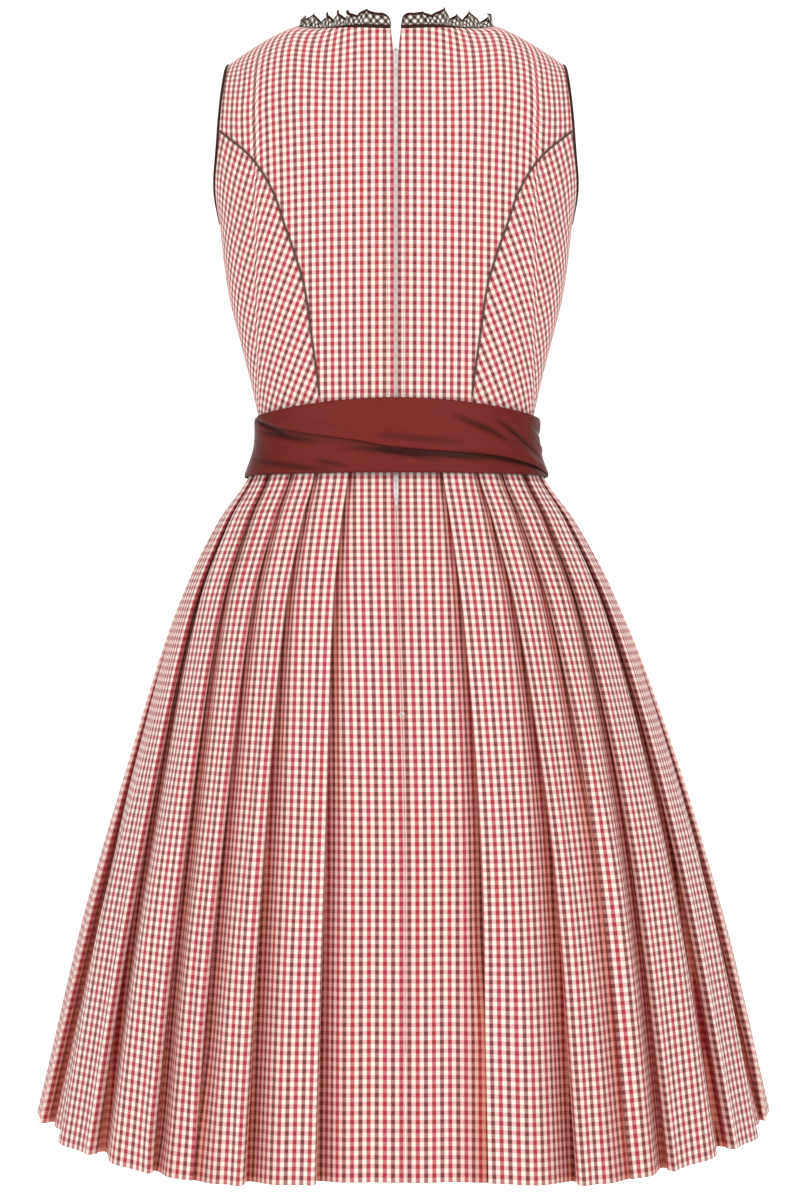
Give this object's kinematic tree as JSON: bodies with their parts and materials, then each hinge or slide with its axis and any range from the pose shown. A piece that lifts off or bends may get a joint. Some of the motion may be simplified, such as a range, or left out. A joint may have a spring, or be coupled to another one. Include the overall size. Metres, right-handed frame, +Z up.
{
  "type": "dirndl dress",
  "caption": "Sleeveless check dirndl dress with piped princess seams, knife-pleated skirt, wound sash, neck ruffle and a zip down the back, filled out as worn.",
  "frame": {"origin": "on the midline at the height of the wearer's shoulders", "axes": "+Z up, +Y to the wearer's back, +X to the wearer's left"},
  "size_m": [0.6945, 0.6037, 1.0456],
  "materials": {
    "check": "red and cream woven cotton check",
    "piping": "grey-brown cotton piping",
    "binding": "dark brown bias binding",
    "ruffle": "small black and cream check",
    "sash": "burgundy taffeta, softly shiny",
    "tape": "pale pink-grey woven tape",
    "slider": "off-white enamel"
  },
  "bodies": {
    "dress": {"back_left": "check", "back_right": "check", "side_back_left": "check", "side_back_right": "check", "side_front_left": "check", "side_front_right": "check", "front_centre": "check", "skirt_back_left": "check", "skirt_back_right": "check", "skirt_front": "check", "piping_back_left": "piping", "piping_back_right": "piping", "piping_front_left": "piping", "piping_front_right": "piping", "armhole_binding_left": "binding", "armhole_binding_right": "binding", "neck_binding": "binding", "ruffle_binding": "binding", "neck_ruffle": "ruffle", "sash_under": "sash", "sash_over": "sash", "zip_tape_left": "tape", "zip_tape_right": "tape", "zip_slider": "slider"},
    "zip_pull": {"zip_pull": "slider"}
  },
  "joints": [
    {"name": "zip_pull_hinge", "type": "hinge", "parent": "dress", "child": "zip_pull", "pos_m": [0, 0.07404, -0.0264], "axis": [-1, 0, 0], "range_deg": [-10, 120]}
  ]
}
